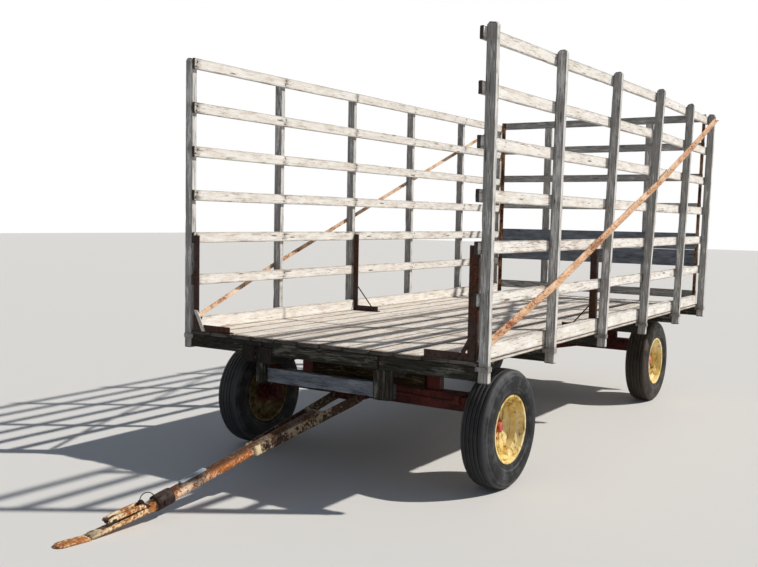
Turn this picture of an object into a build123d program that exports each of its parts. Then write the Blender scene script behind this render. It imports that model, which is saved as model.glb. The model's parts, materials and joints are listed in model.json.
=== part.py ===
from build123d import *
import os
from math import cos, sin, radians

os.makedirs("parts", exist_ok=True)

# Hay wagon: a plank bed with two slatted side racks and a tail rack, on a four wheel running gear
# whose front wheels are steered by the tongue. X points forward, Y to the wagon's left, Z up, and
# the wheels and the tongue's tip stand on z = 0. Lengthwise places are given from the front face
# of the bed's header, with rearward places below zero.

# Bed
bed_half_width = 1128
deck_top = 889
plank_thickness = 25
plank_count = 12
plank_gap = 3
joist_height = 89
joist_thickness = 38
sill_top = 829
sill_height = 109
sill_tail = 30
# Sills: low y, high y and the place of the front end. The right ones come through the header's
# notches and the left ones end behind the left hanger.
sill_rows = ((-646, -550, 6), (-487, -392, 9), (398, 450, -76), (462, 514, -76))
# Header seams, between its boards, and the notch over the two right sills and their hanger
header_seams = (-479, 448)
header_seam_gap = 2
header_notch = (-646, -392)
# How far each plank's front end stands out of the header, from the right side to the left
plank_noses = (12, 15, 10, 17, 11, 14, 4, 15, 9, 16, 7, 12)

# Rack posts, from the front: the place of each front face
post_places = (0, -975, -1974, -2973, -4005, -4916)
post_thickness = 43
post_depth = 64
post_foot = 764
left_post_top = 2807
right_post_top = 2786
post_clip = 14
# How far the top of each left post stands out of plumb
left_post_leans = (0, 23, 56, 85, 60, 34)

# Slats and side boards
slat_tops = (2781, 2479, 2178, 1875, 1580, 1282)
slat_height = 75
slat_thickness = 22
left_slat_nose = 45
right_slat_nose = 6
slat_tail = 8
curb_height = 93
curb_thickness = 38
curb_nose = -50
curb_tail = -4880

# Tail rack
tail_slat_tops = (2809, 2529, 2215, 1919)
tail_panel_top = 1612
tail_board_height = 168
tail_board_gap = 4
tail_sill_low = 944
tail_sill_height = 82
tail_post_y = 564
tail_post_width = 80
tail_post_thickness = 38
tail_post_drop = 10
tail_end_gap = 1
tail_upright_leg = 32
tail_upright_wall = 4

# Post straps
strap_height = 29
strap_wall = 3
strap_fit = 0.3
strap_low = 834
strap_inset = 17

# Stake brackets inside the rack: the number of the post each stands beside and its foot's length
bracket_rows = ((0, 336), (2, 260))
bracket_top = 1557
bracket_leg = 48
bracket_wall = 6
bracket_foot_depth = 46
bracket_foot_height = 45
bracket_notch_gap = 2
# The front brackets have a flat strut and the rear ones a thin rod: heights over the deck and
# distances in from the slats
strut_width = 28
strut_wall = 6
strut_top = 145
strut_top_inset = 22
strut_foot_inset = 99
bracket_rod_radius = 5
bracket_rod_height = 242
bracket_rod_inset = 4
bracket_rod_reach = 207

# Diagonal side braces, steel angle
brace_leg = 32
brace_wall = 4
brace_fit = 0.3
brace_low_place = -52
brace_low_height = 977
brace_high_height = 2764
brace_knee_lead = 32

# Hanger posts under the front end: low y, high y and top. The cross board behind them is tilted.
hanger_rows = ((-549, -488, 829), (398, 514, 775))
hanger_front = -22
hanger_depth = 53
hanger_foot = 579
hanger_board_low = 582
hanger_board_rise = 15
hanger_board_height = 81
hanger_board_thickness = 38

# Running gear
wheel_radius = 382
front_axle_place = -596
rear_axle_place = -4130
front_half_track = 997
rear_half_track = 873
axle_low = 461
axle_height = 112
axle_width = 100
axle_wall = 8
kingpin_inset = 178
kingpin_radius = 18
kingpin_boss_radius = 34
running_fit = 0.05
spindle_radius = 22
bolster_width = 100
bolster_half_length = 467
stake_y = 519
stake_width = 98
stake_depth = 60
stake_wall = 8
reach_radius = 44
reach_wall = 7
hound_leg = 50
hound_wall = 6
hound_spread = 330
hound_length = 900
hound_fit = 0.3
stub_plate_thickness = 20
stub_plate_drop = 23
stub_reach = 12

# Steering
tongue_turn = -9
wheel_turn = -1.3
turn_pin_ahead = 126
turn_pin_radius = 16
turn_pin_head = 8
lug_thickness = 14
lug_reach = 34
head_fit = 0.3
head_arm = 110
yoke_root = 30
yoke_half_width = 83
yoke_tip = 116
yoke_height = 48
arm_length = 220
arm_thickness = 14
arm_root_half = 26
arm_tip_half = 16
left_rod_height = 579
right_rod_height = 555
ball_rise = 24
ball_gap = 0.6
thrust_gap = 0.5
kingpin_cap_radius = 28
kingpin_cap_height = 8
knuckle_drop = 8
spindle_length = 12
spindle_flange_radius = 60
spindle_flange_wall = 12
spindle_flange_place = 62
eye_radius = 22
eye_thickness = 22
link_pin_radius = 9
link_washer_radius = 16
link_nut_height = 10
tie_rod_radius = 11

# Wheels. Places across a wheel are measured outwards from its middle plane. They are those of the
# rear wheels: the front tyres and rims are narrower by wheel_narrowing at each side.
wheel_narrowing = 7
tread_half_width = 76
tread_crown = 5
tyre_bulge_radius = 304
tyre_half_width = 104
shoulder_inset = 9
shoulder_radius = 355
wall_inset = 6
wall_radius = 252
bead_radius = 207
bead_half_width = 76
bead_flare = 6
rim_fit = 0.4
rim_flange_radius = 223
rim_flange_fit = 2
rim_half_width = 84
rim_wall = 5
rim_lip = 3
rim_well_radius = 176
rim_well_half_width = 34
rim_well_slope = 12
rim_well_drop = 4
disc_place = -9
disc_wall = 8
disc_rim_land = 30
disc_hub_radius = 62
disc_hub_land = 12
disc_dish = 14
hub_radius = 37
hub_drum_radius = 56
hub_flange_radius = 78
hub_flange_wall = 12
hub_back = 54
hub_shoulder = 9
hub_cap_radius = 30
hub_cap_crown = 14
hub_cap_reach = 26
hub_cap_wall = 8

# Tongue
hinge_ahead = 120
hinge_height = 499
hinge_pin_radius = 12
hinge_pin_end = 14
hinge_barrel_radius = 26
hinge_half_width = 105
tongue_slope = -14.7
pole_radius = 38
pole_wall = 6
pole_fit = 0.3
pole_start = 330
pole_end = 1547
member_height = 64
member_wall = 8
member_end = 850
member_ear = 26
member_bend = 60
gusset_length = 20
collar_start = 1474
collar_end = 1587
collar_radius = 47
nose_slope = 5.8
clevis_start = 1567
clevis_width = 78
clevis_gap = 30
shank_gap = 1
shank_root = 6
strap_thickness = 16
strap_start = 27
root_block_length = 70
upper_strap_length = 335
hitch_pin_radius = 13
hitch_pin_place = 290
toe_length = 170
toe_lap = 2

# Worked out from the sizes above
deck_low = deck_top - plank_thickness
joist_low = deck_low - joist_height
sill_low = sill_top - sill_height
axle_top = axle_low + axle_height
reach_height = axle_low + axle_height / 2
rack_end = post_places[-1] - post_thickness
slat_inner = bed_half_width - slat_thickness
post_outer = bed_half_width + post_depth
hanger_back = hanger_front - hanger_depth
turn_pin_place = front_axle_place + turn_pin_ahead
# Both sorts of wheel have their discs at the same distance from the pivot of their stub axle
kingpin_y = front_half_track - wheel_narrowing - kingpin_inset
arm_low = right_rod_height + ball_rise + ball_gap
clevis_slope = radians(-tongue_slope - nose_slope)
strap_drop = clevis_gap / 2 + strap_thickness
# The lower strap runs down to the ground and ends in a toe that lies flat on it
lower_strap_length = (hinge_height - clevis_start * sin(radians(-tongue_slope))
                      - strap_drop * cos(clevis_slope)) / sin(clevis_slope)
toe_place = (hinge_ahead + clevis_start * cos(radians(tongue_slope))
             + lower_strap_length * cos(clevis_slope) - strap_drop * sin(clevis_slope))
toe_round = toe_place + toe_length - clevis_width / 2
tip_place = turn_pin_place + toe_round * cos(radians(tongue_turn)) + clevis_width / 2
tail_place = rack_end - tail_post_thickness
# The origin is on the ground, halfway between the tongue's tip and the tail posts, and halfway
# across the wagon's whole width, which is more on the left, where the racks lean out
front_x = -(tip_place + tail_place) / 2
brace_rise = (brace_high_height - brace_low_height) / (brace_low_place - rack_end)
widest_lean = max(left_post_leans)
widest_place = post_places[left_post_leans.index(widest_lean)]
widest_height = brace_low_height + brace_rise * (brace_low_place - widest_place) + brace_leg
middle_y = -widest_lean * (widest_height - joist_low) / (left_post_top - joist_low) / 2


def place(x):
    """The model's x for a place given from the header's front face."""
    return front_x + x


def ordered(side, near, far):
    """The low and high y of a piece on one side, from its distances off the middle."""
    return sorted((side * near, side * far))


def lean_out(post, z):
    """How far a left post stands out at a height, beside its plumb place at the joists' bottom."""
    return left_post_leans[post] * (z - joist_low) / (left_post_top - joist_low)


def board(x, y, z):
    """One sawn board, given by its low and high x, y and z."""
    with BuildSketch(Plane.XY.offset(z[0])) as face:
        with Locations(((x[0] + x[1]) / 2, (y[0] + y[1]) / 2)):
            Rectangle(x[1] - x[0], y[1] - y[0])
    extrude(face.sketch, amount=z[1] - z[0])


def shape_along_x(x, corners):
    """A piece with the same outline in y and z from one x to another."""
    with BuildSketch(Plane.YZ.offset(x[0])) as outline:
        with BuildLine():
            Polyline(*corners, close=True)
        make_face()
    extrude(outline.sketch, amount=x[1] - x[0])


def leaning_board(x, y, z, foot_out, top_out):
    """A board whose foot and top are moved sideways by different amounts."""
    shape_along_x(x, ((y[0] + foot_out, z[0]), (y[1] + foot_out, z[0]),
                      (y[1] + top_out, z[1]), (y[0] + top_out, z[1])))


def shape_up(z, corners):
    """A piece with the same outline on plan from one height to another."""
    with BuildSketch(Plane.XY.offset(z[0])) as outline:
        with BuildLine():
            Polyline(*corners, close=True)
        make_face()
    extrude(outline.sketch, amount=z[1] - z[0])


def rod(start, end, radius):
    """A round bar from one point to another."""
    path = Vector(*end) - Vector(*start)
    with BuildSketch(Plane(origin=start, z_dir=path)) as section:
        Circle(radius)
    extrude(section.sketch, amount=path.length)


def disc(plane, radius, amount, bore=0):
    """A round plate or ring standing on a plane."""
    with BuildSketch(plane) as ring:
        Circle(radius)
        if bore:
            Circle(bore, mode=Mode.SUBTRACT)
    extrude(ring.sketch, amount=amount)


def turned(x, y, turn):
    """A level frame at a place on the plan, turned about the vertical."""
    return Plane(origin=(x, y, 0), x_dir=(cos(radians(turn)), sin(radians(turn)), 0), z_dir=(0, 0, 1))


def save(piece, name):
    """Set a finished piece over the origin, label it and write its STEP file."""
    placed = piece.part.moved(Location((0, middle_y, 0)))
    placed.label = name
    export_step(placed, f"parts/{name}.step")


def build_bed():
    """Header, joists, sills, planks, side boards and the hangers under the front end."""
    half_gap = header_seam_gap / 2
    ends = (-bed_half_width - half_gap, *header_seams, bed_half_width + half_gap)
    with BuildPart() as header:
        for low, high in zip(ends, ends[1:]):
            board((place(-joist_thickness), place(0)), (low + half_gap, high - half_gap),
                  (joist_low, deck_low))
        with BuildSketch(Plane.XY.offset(joist_low)) as notch:
            with Locations((place(0), sum(header_notch) / 2)):
                Rectangle(4 * joist_thickness, header_notch[1] - header_notch[0])
        extrude(notch.sketch, amount=sill_top - joist_low, mode=Mode.SUBTRACT)
    save(header, "front_header")

    with BuildPart() as joists:
        for x in post_places[1:]:
            board((place(x - joist_thickness), place(x)), (-bed_half_width, bed_half_width),
                  (joist_low, deck_low))
        with BuildSketch(Plane.XY.offset(joist_low)) as notches:
            for low, high, front in sill_rows:
                with Locations((place(rack_end / 2), (low + high) / 2)):
                    Rectangle(-2 * rack_end, high - low)
        extrude(notches.sketch, amount=sill_top - joist_low, mode=Mode.SUBTRACT)
    save(joists, "cross_joists")

    with BuildPart() as sills:
        for low, high, front in sill_rows:
            board((place(rack_end - sill_tail), place(front)), (low, high), (sill_low, sill_top))
    save(sills, "long_sills")

    pitch = 2 * bed_half_width / plank_count
    with BuildPart() as planks:
        for row, nose in enumerate(plank_noses):
            low = -bed_half_width + row * pitch + plank_gap / 2
            board((place(rack_end - sill_tail), place(nose)), (low, low + pitch - plank_gap),
                  (deck_low, deck_top))
    save(planks, "deck_planks")

    with BuildPart() as curbs:
        for side in (-1, 1):
            board((place(curb_tail), place(curb_nose)),
                  ordered(side, bed_half_width - curb_thickness, bed_half_width),
                  (deck_top, deck_top + curb_height))
            for post, foot in bracket_rows:
                with BuildSketch(Plane.XY.offset(deck_top)) as notch:
                    with Locations((place(post_places[post] - bracket_leg / 2),
                                    side * (slat_inner - curb_thickness / 2))):
                        Rectangle(bracket_leg + 2 * bracket_notch_gap, curb_thickness)
                extrude(notch.sketch, amount=curb_height, mode=Mode.SUBTRACT)
    save(curbs, "side_curbs")

    with BuildPart() as hangers:
        for low, high, top in hanger_rows:
            board((place(hanger_back), place(hanger_front)), (low, high), (hanger_foot, top))
    save(hangers, "hanger_posts")

    low, high = hanger_rows[0][0], hanger_rows[1][1]
    with BuildPart() as cross:
        shape_along_x((place(hanger_back - hanger_board_thickness), place(hanger_back)),
                      ((low, hanger_board_low), (high, hanger_board_low + hanger_board_rise),
                       (high, hanger_board_low + hanger_board_rise + hanger_board_height),
                       (low, hanger_board_low + hanger_board_height)))
    save(cross, "hanger_board")


def build_racks():
    """Posts, slats, straps, brackets and diagonal braces of the two side racks."""
    with BuildPart() as posts:
        for post, x in enumerate(post_places):
            leaning_board((place(x - post_thickness), place(x)), (bed_half_width, post_outer),
                          (post_foot, left_post_top), lean_out(post, post_foot), left_post_leans[post])
        chamfer(posts.edges().filter_by(Axis.X).group_by(Axis.Z)[-1], post_clip)
    save(posts, "left_posts")

    with BuildPart() as posts:
        for x in post_places:
            board((place(x - post_thickness), place(x)), (-post_outer, -bed_half_width),
                  (post_foot, right_post_top))
        chamfer(posts.edges().filter_by(Axis.X).group_by(Axis.Z)[-1], post_clip)
    save(posts, "right_posts")

    # Each left slat bends from post to post as the posts lean
    with BuildPart() as slats:
        for top in slat_tops:
            low = top - slat_height
            line = [(place(left_slat_nose), bed_half_width)]
            for post, x in enumerate(post_places):
                line += [(place(x), bed_half_width + lean_out(post, low)),
                         (place(x - post_thickness), bed_half_width + lean_out(post, low))]
            line += [(place(rack_end - slat_tail), line[-1][1])]
            shape_up((low, top), line + [(x, y - slat_thickness) for x, y in reversed(line)])
    save(slats, "left_slats")

    with BuildPart() as slats:
        for top in slat_tops:
            board((place(rack_end - slat_tail), place(right_slat_nose)), (-bed_half_width, -slat_inner),
                  (top - slat_height, top))
    save(slats, "right_slats")

    with BuildPart() as straps:
        for post, x in enumerate(post_places):
            middle = place(x - post_thickness / 2)
            for side in (-1, 1):
                half = post_thickness / 2 + strap_fit
                out = post_outer + strap_fit + max(side * lean_out(post, strap_low + strap_height), 0)
                inner = bed_half_width - strap_inset
                low, high = ordered(side, inner, out + strap_wall)
                with BuildSketch(Plane.XY.offset(strap_low)) as band:
                    with Locations((middle, (low + high) / 2)):
                        Rectangle(2 * (half + strap_wall), high - low)
                    low, high = ordered(side, inner - strap_wall, out)
                    with Locations((middle, (low + high) / 2)):
                        Rectangle(2 * half, high - low, mode=Mode.SUBTRACT)
                extrude(band.sketch, amount=strap_height)
    save(straps, "post_straps")

    with BuildPart() as brackets:
        for post, foot in bracket_rows:
            front = post_places[post]
            for side in (-1, 1):
                board((place(front - bracket_wall), place(front)),
                      ordered(side, slat_inner - bracket_leg, slat_inner), (deck_top, bracket_top))
                board((place(front - bracket_leg), place(front)),
                      ordered(side, slat_inner - bracket_wall, slat_inner), (deck_top, bracket_top))
                board((place(front - bracket_foot_depth), place(front)),
                      ordered(side, slat_inner - foot, slat_inner), (deck_top, deck_top + bracket_wall))
                board((place(front - bracket_wall), place(front)),
                      ordered(side, slat_inner - foot, slat_inner),
                      (deck_top, deck_top + bracket_foot_height))
                if post == 0:
                    half = strut_width / 2
                    inset, low_inset = strut_top_inset, strut_foot_inset
                    shape_along_x((place(front), place(front + strut_wall)),
                                  [(side * (slat_inner - across), deck_top + up) for across, up in
                                   ((inset - half, strut_top), (inset + half, strut_top),
                                    (low_inset + half, 0), (low_inset - half, 0))])
                else:
                    middle = place(front - bracket_leg / 2)
                    rod((middle, side * (slat_inner - bracket_rod_inset), deck_top + bracket_rod_height),
                        (middle, side * (slat_inner - bracket_rod_reach),
                         deck_top + bracket_wall + bracket_rod_radius / 2), bracket_rod_radius)
    save(brackets, "stake_brackets")

    # The braces start on the curbs' outer faces, swing out to the second posts and follow the
    # outer faces of the others
    half_height = brace_leg / 2 * (1 + brace_rise ** 2) ** 0.5
    with BuildPart() as braces:
        for side in (-1, 1):
            line = [(brace_low_place, bed_half_width)]
            for post, x in enumerate(post_places[1:], 1):
                height = brace_low_height + brace_rise * (brace_low_place - x) + brace_leg
                out = post_outer + max(side * lean_out(post, height), 0)
                line += [(x + brace_knee_lead if post == 1 else x, out), (x - post_thickness, out)]
            sections = []
            for x, out in line:
                z = brace_low_height + brace_rise * (brace_low_place - x)
                near = side * (out + brace_fit)
                with BuildSketch(Plane.YZ.offset(place(x))) as section:
                    with BuildLine():
                        Polyline((near, z - half_height), (near + side * brace_leg, z - half_height),
                                 (near + side * brace_leg, z - half_height + brace_wall),
                                 (near + side * brace_wall, z - half_height + brace_wall),
                                 (near + side * brace_wall, z + half_height), (near, z + half_height),
                                 close=True)
                    make_face()
                sections.append(section.sketch)
            loft(sections, ruled=True)
    save(braces, "side_braces")


def build_tail():
    """Slats, panel boards, bottom board and uprights of the tail rack."""
    back = rack_end
    last = len(post_places) - 1

    def tail_board(low, high):
        """One board across the tail, as wide as the racks leave it at its height."""
        board((place(back), place(back + slat_thickness)),
              (-slat_inner + tail_end_gap, slat_inner - tail_end_gap + lean_out(last, low - slat_height)),
              (low, high))

    with BuildPart() as slats:
        for top in tail_slat_tops:
            tail_board(top - slat_height, top)
    save(slats, "tail_slats")

    with BuildPart() as panel:
        top = tail_panel_top
        for row in range(2):
            tail_board(top - tail_board_height, top)
            top -= tail_board_height + tail_board_gap
    save(panel, "tail_panel")

    with BuildPart() as sill:
        tail_board(tail_sill_low, tail_sill_low + tail_sill_height)
    save(sill, "tail_sill_board")

    with BuildPart() as posts:
        for side in (-1, 1):
            y = side * tail_post_y
            board((place(back - tail_post_thickness), place(back)),
                  (y - tail_post_width / 2, y + tail_post_width / 2),
                  (deck_top, tail_slat_tops[0] - tail_post_drop))
    save(posts, "tail_posts")

    with BuildPart() as uprights:
        front = back + slat_thickness
        top = tail_slat_tops[0]
        for side in (-1, 1):
            outer = slat_inner - 2 * tail_end_gap
            foot_out = max(side * lean_out(last, deck_top - slat_height), 0)
            top_out = max(side * lean_out(last, top - slat_height), 0)
            leaning_board((place(front), place(front + tail_upright_wall)),
                          ordered(side, outer - tail_upright_leg, outer), (deck_top, top), foot_out, top_out)
            leaning_board((place(front), place(front + tail_upright_leg)),
                          ordered(side, outer - tail_upright_wall, outer), (deck_top, top), foot_out, top_out)
    save(uprights, "tail_uprights")


def axle_tube(x, half_length):
    """A square tube axle beam across the wagon."""
    with BuildSketch(Plane.XZ.offset(-half_length)) as tube:
        with Locations((place(x), axle_low + axle_height / 2)):
            Rectangle(axle_width, axle_height)
            Rectangle(axle_width - 2 * axle_wall, axle_height - 2 * axle_wall, mode=Mode.SUBTRACT)
    extrude(tube.sketch, amount=2 * half_length)


def build_gear():
    """Axles, bolsters, reach and hounds of the running gear."""
    with BuildPart() as front_axle:
        axle_tube(front_axle_place, kingpin_y - kingpin_boss_radius / 2)
        for side in (-1, 1):
            disc(turned(place(front_axle_place), side * kingpin_y, 0).offset(axle_low), kingpin_boss_radius,
                 axle_height)
        front = front_axle_place + axle_width / 2
        for low in (axle_low, axle_top - lug_thickness):
            with BuildSketch(Plane.XY.offset(low)) as lug:
                with Locations((place((front + turn_pin_place) / 2), 0)):
                    Rectangle(turn_pin_place - front, 2 * lug_reach)
                with Locations((place(turn_pin_place), 0)):
                    Circle(lug_reach)
            extrude(lug.sketch, amount=lug_thickness)
        with Locations(*[(place(front_axle_place), side * kingpin_y, axle_low) for side in (-1, 1)]):
            Cylinder(kingpin_radius + running_fit, 2 * axle_height, mode=Mode.SUBTRACT)
        disc(turned(place(turn_pin_place), 0, 0).offset(axle_low - turn_pin_head), turn_pin_radius,
             axle_height + 2 * turn_pin_head)
    save(front_axle, "front_axle")

    with BuildPart() as rear_axle:
        half = rear_half_track - kingpin_inset
        axle_tube(rear_axle_place, half)
        for side in (-1, 1):
            board((place(rear_axle_place - axle_width / 2), place(rear_axle_place + axle_width / 2)),
                  ordered(side, half, half + stub_plate_thickness),
                  (wheel_radius - spindle_radius - stub_plate_drop, axle_top))
            rod((place(rear_axle_place), side * half, wheel_radius),
                (place(rear_axle_place), side * (rear_half_track + stub_reach), wheel_radius), spindle_radius)
    save(rear_axle, "rear_axle")

    for name, x in (("front_bolster", front_axle_place), ("rear_bolster", rear_axle_place)):
        with BuildPart() as bolster:
            board((place(x - bolster_width / 2), place(x + bolster_width / 2)),
                  (-bolster_half_length, bolster_half_length), (axle_top, sill_low))
        save(bolster, name)

    with BuildPart() as stakes:
        for x in (front_axle_place, rear_axle_place):
            for side in (-1, 1):
                with BuildSketch(Plane.XY.offset(axle_top)) as channel:
                    with Locations((place(x), side * stake_y)):
                        Rectangle(stake_depth, stake_width)
                        Rectangle(stake_depth - 2 * stake_wall, stake_width - 2 * stake_wall,
                                  mode=Mode.SUBTRACT)
                extrude(channel.sketch, amount=sill_low - axle_top)
    save(stakes, "bolster_stakes")

    with BuildPart() as reach:
        reach_start = place(rear_axle_place + axle_width / 2)
        with BuildSketch(Plane.YZ.offset(reach_start)) as pipe:
            with Locations((0, reach_height)):
                Circle(reach_radius)
                Circle(reach_radius - reach_wall, mode=Mode.SUBTRACT)
        extrude(pipe.sketch, amount=place(front_axle_place - axle_width / 2) - reach_start)
    save(reach, "reach_pole")

    with BuildPart() as hounds:
        for x, way in ((front_axle_place, -1), (rear_axle_place, 1)):
            start = place(x + way * axle_width / 2)
            end = place(x + way * hound_length)
            for side in (-1, 1):
                shape_up((reach_height - hound_leg / 2, reach_height + hound_leg / 2),
                         ((start, side * hound_spread), (end, side * (reach_radius + hound_fit)),
                          (end, side * (reach_radius + hound_fit + hound_wall)),
                          (start, side * (hound_spread + hound_wall))))
    save(hounds, "reach_hounds")


def build_steering():
    """The turning head between the front axle's lugs: sleeve, yoke, hinge barrel and link pin."""
    frame = turned(place(turn_pin_place), 0, tongue_turn)
    low = axle_low + lug_thickness + head_fit
    high = axle_top - lug_thickness - head_fit
    link_low = right_rod_height - eye_thickness / 2 - thrust_gap
    link_high = left_rod_height + eye_thickness / 2 + thrust_gap
    with BuildPart() as head:
        disc(frame.offset(low), lug_reach, high - low, turn_pin_radius + running_fit)
        # The yoke runs from the sleeve to the hinge barrel across the tongue
        with BuildSketch(frame.offset(low)) as yoke:
            with BuildLine():
                Polyline((turn_pin_radius + lug_thickness, -yoke_root), (yoke_tip, -yoke_half_width),
                         (yoke_tip, yoke_half_width), (turn_pin_radius + lug_thickness, yoke_root),
                         close=True)
            make_face()
        extrude(yoke.sketch, amount=yoke_height)
        for reach, radius in ((yoke_half_width, hinge_barrel_radius),
                              (hinge_half_width + hinge_pin_end, hinge_pin_radius)):
            centre = frame.from_local_coords((hinge_ahead, reach, hinge_height))
            disc(Plane(origin=centre, z_dir=frame.y_dir), radius, -2 * reach)
        # Both tie rods turn on the pin that stands on the yoke
        centre = frame.from_local_coords((head_arm, 0, 0))
        link = turned(centre.X, centre.Y, tongue_turn)
        disc(link.offset(low), link_washer_radius, link_low - low)
        disc(link.offset(link_low), link_pin_radius, link_high - link_low)
        disc(link.offset(link_high), link_washer_radius, link_nut_height)
    save(head, "steering_head")


def build_knuckles():
    """Kingpin, stub axle and steering arm of each front wheel, and the tie rods that turn them."""
    head_frame = turned(place(turn_pin_place), 0, tongue_turn)
    for name, side, rod_height in (("left", 1, left_rod_height), ("right", -1, right_rod_height)):
        frame = turned(place(front_axle_place), side * kingpin_y, wheel_turn)
        body_top = axle_low - thrust_gap
        with BuildPart() as knuckle:
            disc(frame.offset(body_top), kingpin_boss_radius,
                 wheel_radius - spindle_radius - knuckle_drop - body_top)
            disc(frame.offset(body_top), kingpin_radius, axle_height + 2 * thrust_gap)
            disc(frame.offset(axle_top + thrust_gap), kingpin_cap_radius, kingpin_cap_height)
            rod(frame.from_local_coords((0, 0, wheel_radius)),
                frame.from_local_coords((0, side * (kingpin_inset + spindle_length), wheel_radius)),
                spindle_radius)
            flange_end = side * (spindle_flange_place + spindle_flange_wall)
            rod(frame.from_local_coords((0, side * spindle_flange_place, wheel_radius)),
                frame.from_local_coords((0, flange_end, wheel_radius)), spindle_flange_radius)
            with BuildSketch(frame.offset(arm_low)) as arm:
                with BuildLine():
                    Polyline((0, -arm_root_half), (arm_length, -arm_tip_half), (arm_length, arm_tip_half),
                             (0, arm_root_half), close=True)
                make_face()
                Circle(kingpin_cap_radius)
                with Locations((arm_length, 0)):
                    Circle(eye_radius)
            extrude(arm.sketch, amount=arm_thickness)
        save(knuckle, f"{name}_knuckle")

        # The outer end carries the ball housing just below the steering arm
        inner = head_frame.from_local_coords((head_arm, 0, rod_height))
        outer = frame.from_local_coords((arm_length, 0, right_rod_height))
        with BuildPart() as tie_rod:
            rod(inner, outer, tie_rod_radius)
            disc(Plane(origin=inner, z_dir=(0, 0, 1)).offset(-eye_thickness / 2), eye_radius, eye_thickness)
            disc(Plane(origin=outer, z_dir=(0, 0, 1)).offset(ball_rise), eye_radius,
                 -ball_rise - eye_thickness / 2)
            with Locations(inner):
                Cylinder(link_pin_radius + running_fit, 4 * eye_thickness, mode=Mode.SUBTRACT)
        save(tie_rod, f"{name}_tie_rod")


def build_tongue():
    """Hinged tongue: two members, the pipe pole, its collar and the hitch clevis."""
    hinge = turned(place(turn_pin_place), 0, tongue_turn).from_local_coords((hinge_ahead, 0, hinge_height))
    turn, slope = radians(tongue_turn), radians(tongue_slope)
    along = Vector(cos(slope) * cos(turn), cos(slope) * sin(turn), sin(slope))
    across = Vector(-sin(turn), cos(turn), 0)
    frame = Plane(origin=hinge, x_dir=along, z_dir=along.cross(across))

    with BuildPart() as members:
        near, tip = hinge_half_width - member_wall, pole_radius + pole_fit
        gusset_place = pole_start - gusset_length / 2
        gusset_half = near + (tip - near) * (gusset_place - member_bend) / (member_end - member_bend)
        with BuildSketch(frame.offset(-member_height / 2)) as bars:
            for side in (-1, 1):
                with BuildLine():
                    Polyline((-member_ear, side * near), (member_bend, side * near), (member_end, side * tip),
                             (member_end, side * (tip + member_wall)),
                             (member_bend, side * (near + member_wall)),
                             (-member_ear, side * (near + member_wall)), close=True)
                make_face()
            with Locations((gusset_place, 0)):
                Rectangle(gusset_length, 2 * gusset_half + member_wall)
        extrude(bars.sketch, amount=member_height)
        bore_plane = Plane(origin=frame.from_local_coords((0, 2 * hinge_half_width, 0)), z_dir=frame.y_dir)
        with BuildSketch(bore_plane) as bore:
            Circle(hinge_pin_radius + running_fit)
        extrude(bore.sketch, amount=-4 * hinge_half_width, mode=Mode.SUBTRACT)
    save(members, "tongue_members")

    def along_plane(t):
        return Plane(origin=frame.from_local_coords((t, 0, 0)), z_dir=along)

    with BuildPart() as pole:
        disc(along_plane(pole_start), pole_radius, pole_end - pole_start, pole_radius - pole_wall)
    save(pole, "tongue_pole")

    with BuildPart() as collar:
        disc(along_plane(collar_start), collar_radius, collar_end - collar_start, pole_radius + pole_fit)
    save(collar, "tongue_collar")

    bend = frame.from_local_coords((clevis_start, 0, 0))
    nose = slope + radians(nose_slope)
    nose_along = Vector(cos(nose) * cos(turn), cos(nose) * sin(turn), sin(nose))
    nose_frame = Plane(origin=bend, x_dir=nose_along, z_dir=nose_along.cross(across))
    with BuildPart() as clevis:
        shank = pole_end + shank_gap
        disc(along_plane(shank), pole_radius, clevis_start + strap_start + shank_root - shank)
        straight = upper_strap_length - clevis_width / 2
        with BuildSketch(nose_frame.offset(clevis_gap / 2)) as strap:
            with Locations(((straight + strap_start) / 2, 0)):
                Rectangle(straight - strap_start, clevis_width)
            with Locations((straight, 0)):
                Circle(clevis_width / 2)
        extrude(strap.sketch, amount=strap_thickness)
        with BuildSketch(nose_frame.offset(-clevis_gap / 2 - strap_thickness)) as strap:
            with Locations(((lower_strap_length + strap_start) / 2, 0)):
                Rectangle(lower_strap_length - strap_start, clevis_width)
        extrude(strap.sketch, amount=strap_thickness)
        with BuildSketch(turned(place(turn_pin_place), 0, tongue_turn)) as toe:
            with Locations(((toe_place + toe_round) / 2 - toe_lap, 0)):
                Rectangle(toe_round - toe_place + 2 * toe_lap, clevis_width)
            with Locations((toe_round, 0)):
                Circle(clevis_width / 2)
        extrude(toe.sketch, amount=strap_thickness)
        with BuildSketch(nose_frame.offset(-clevis_gap / 2)) as root_block:
            with Locations((strap_start + root_block_length / 2, 0)):
                Rectangle(root_block_length, clevis_width)
        extrude(root_block.sketch, amount=clevis_gap)
        with BuildSketch(nose_frame.offset(-3 * clevis_gap)) as pin_hole:
            with Locations((hitch_pin_place, 0)):
                Circle(hitch_pin_radius)
        extrude(pin_hole.sketch, amount=6 * clevis_gap, mode=Mode.SUBTRACT)
    save(clevis, "hitch_clevis")


def mirrored(points):
    """A wheel profile's points followed by their mirror images, in order round the profile."""
    return points + [(-y, r) for y, r in reversed(points)]


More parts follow.
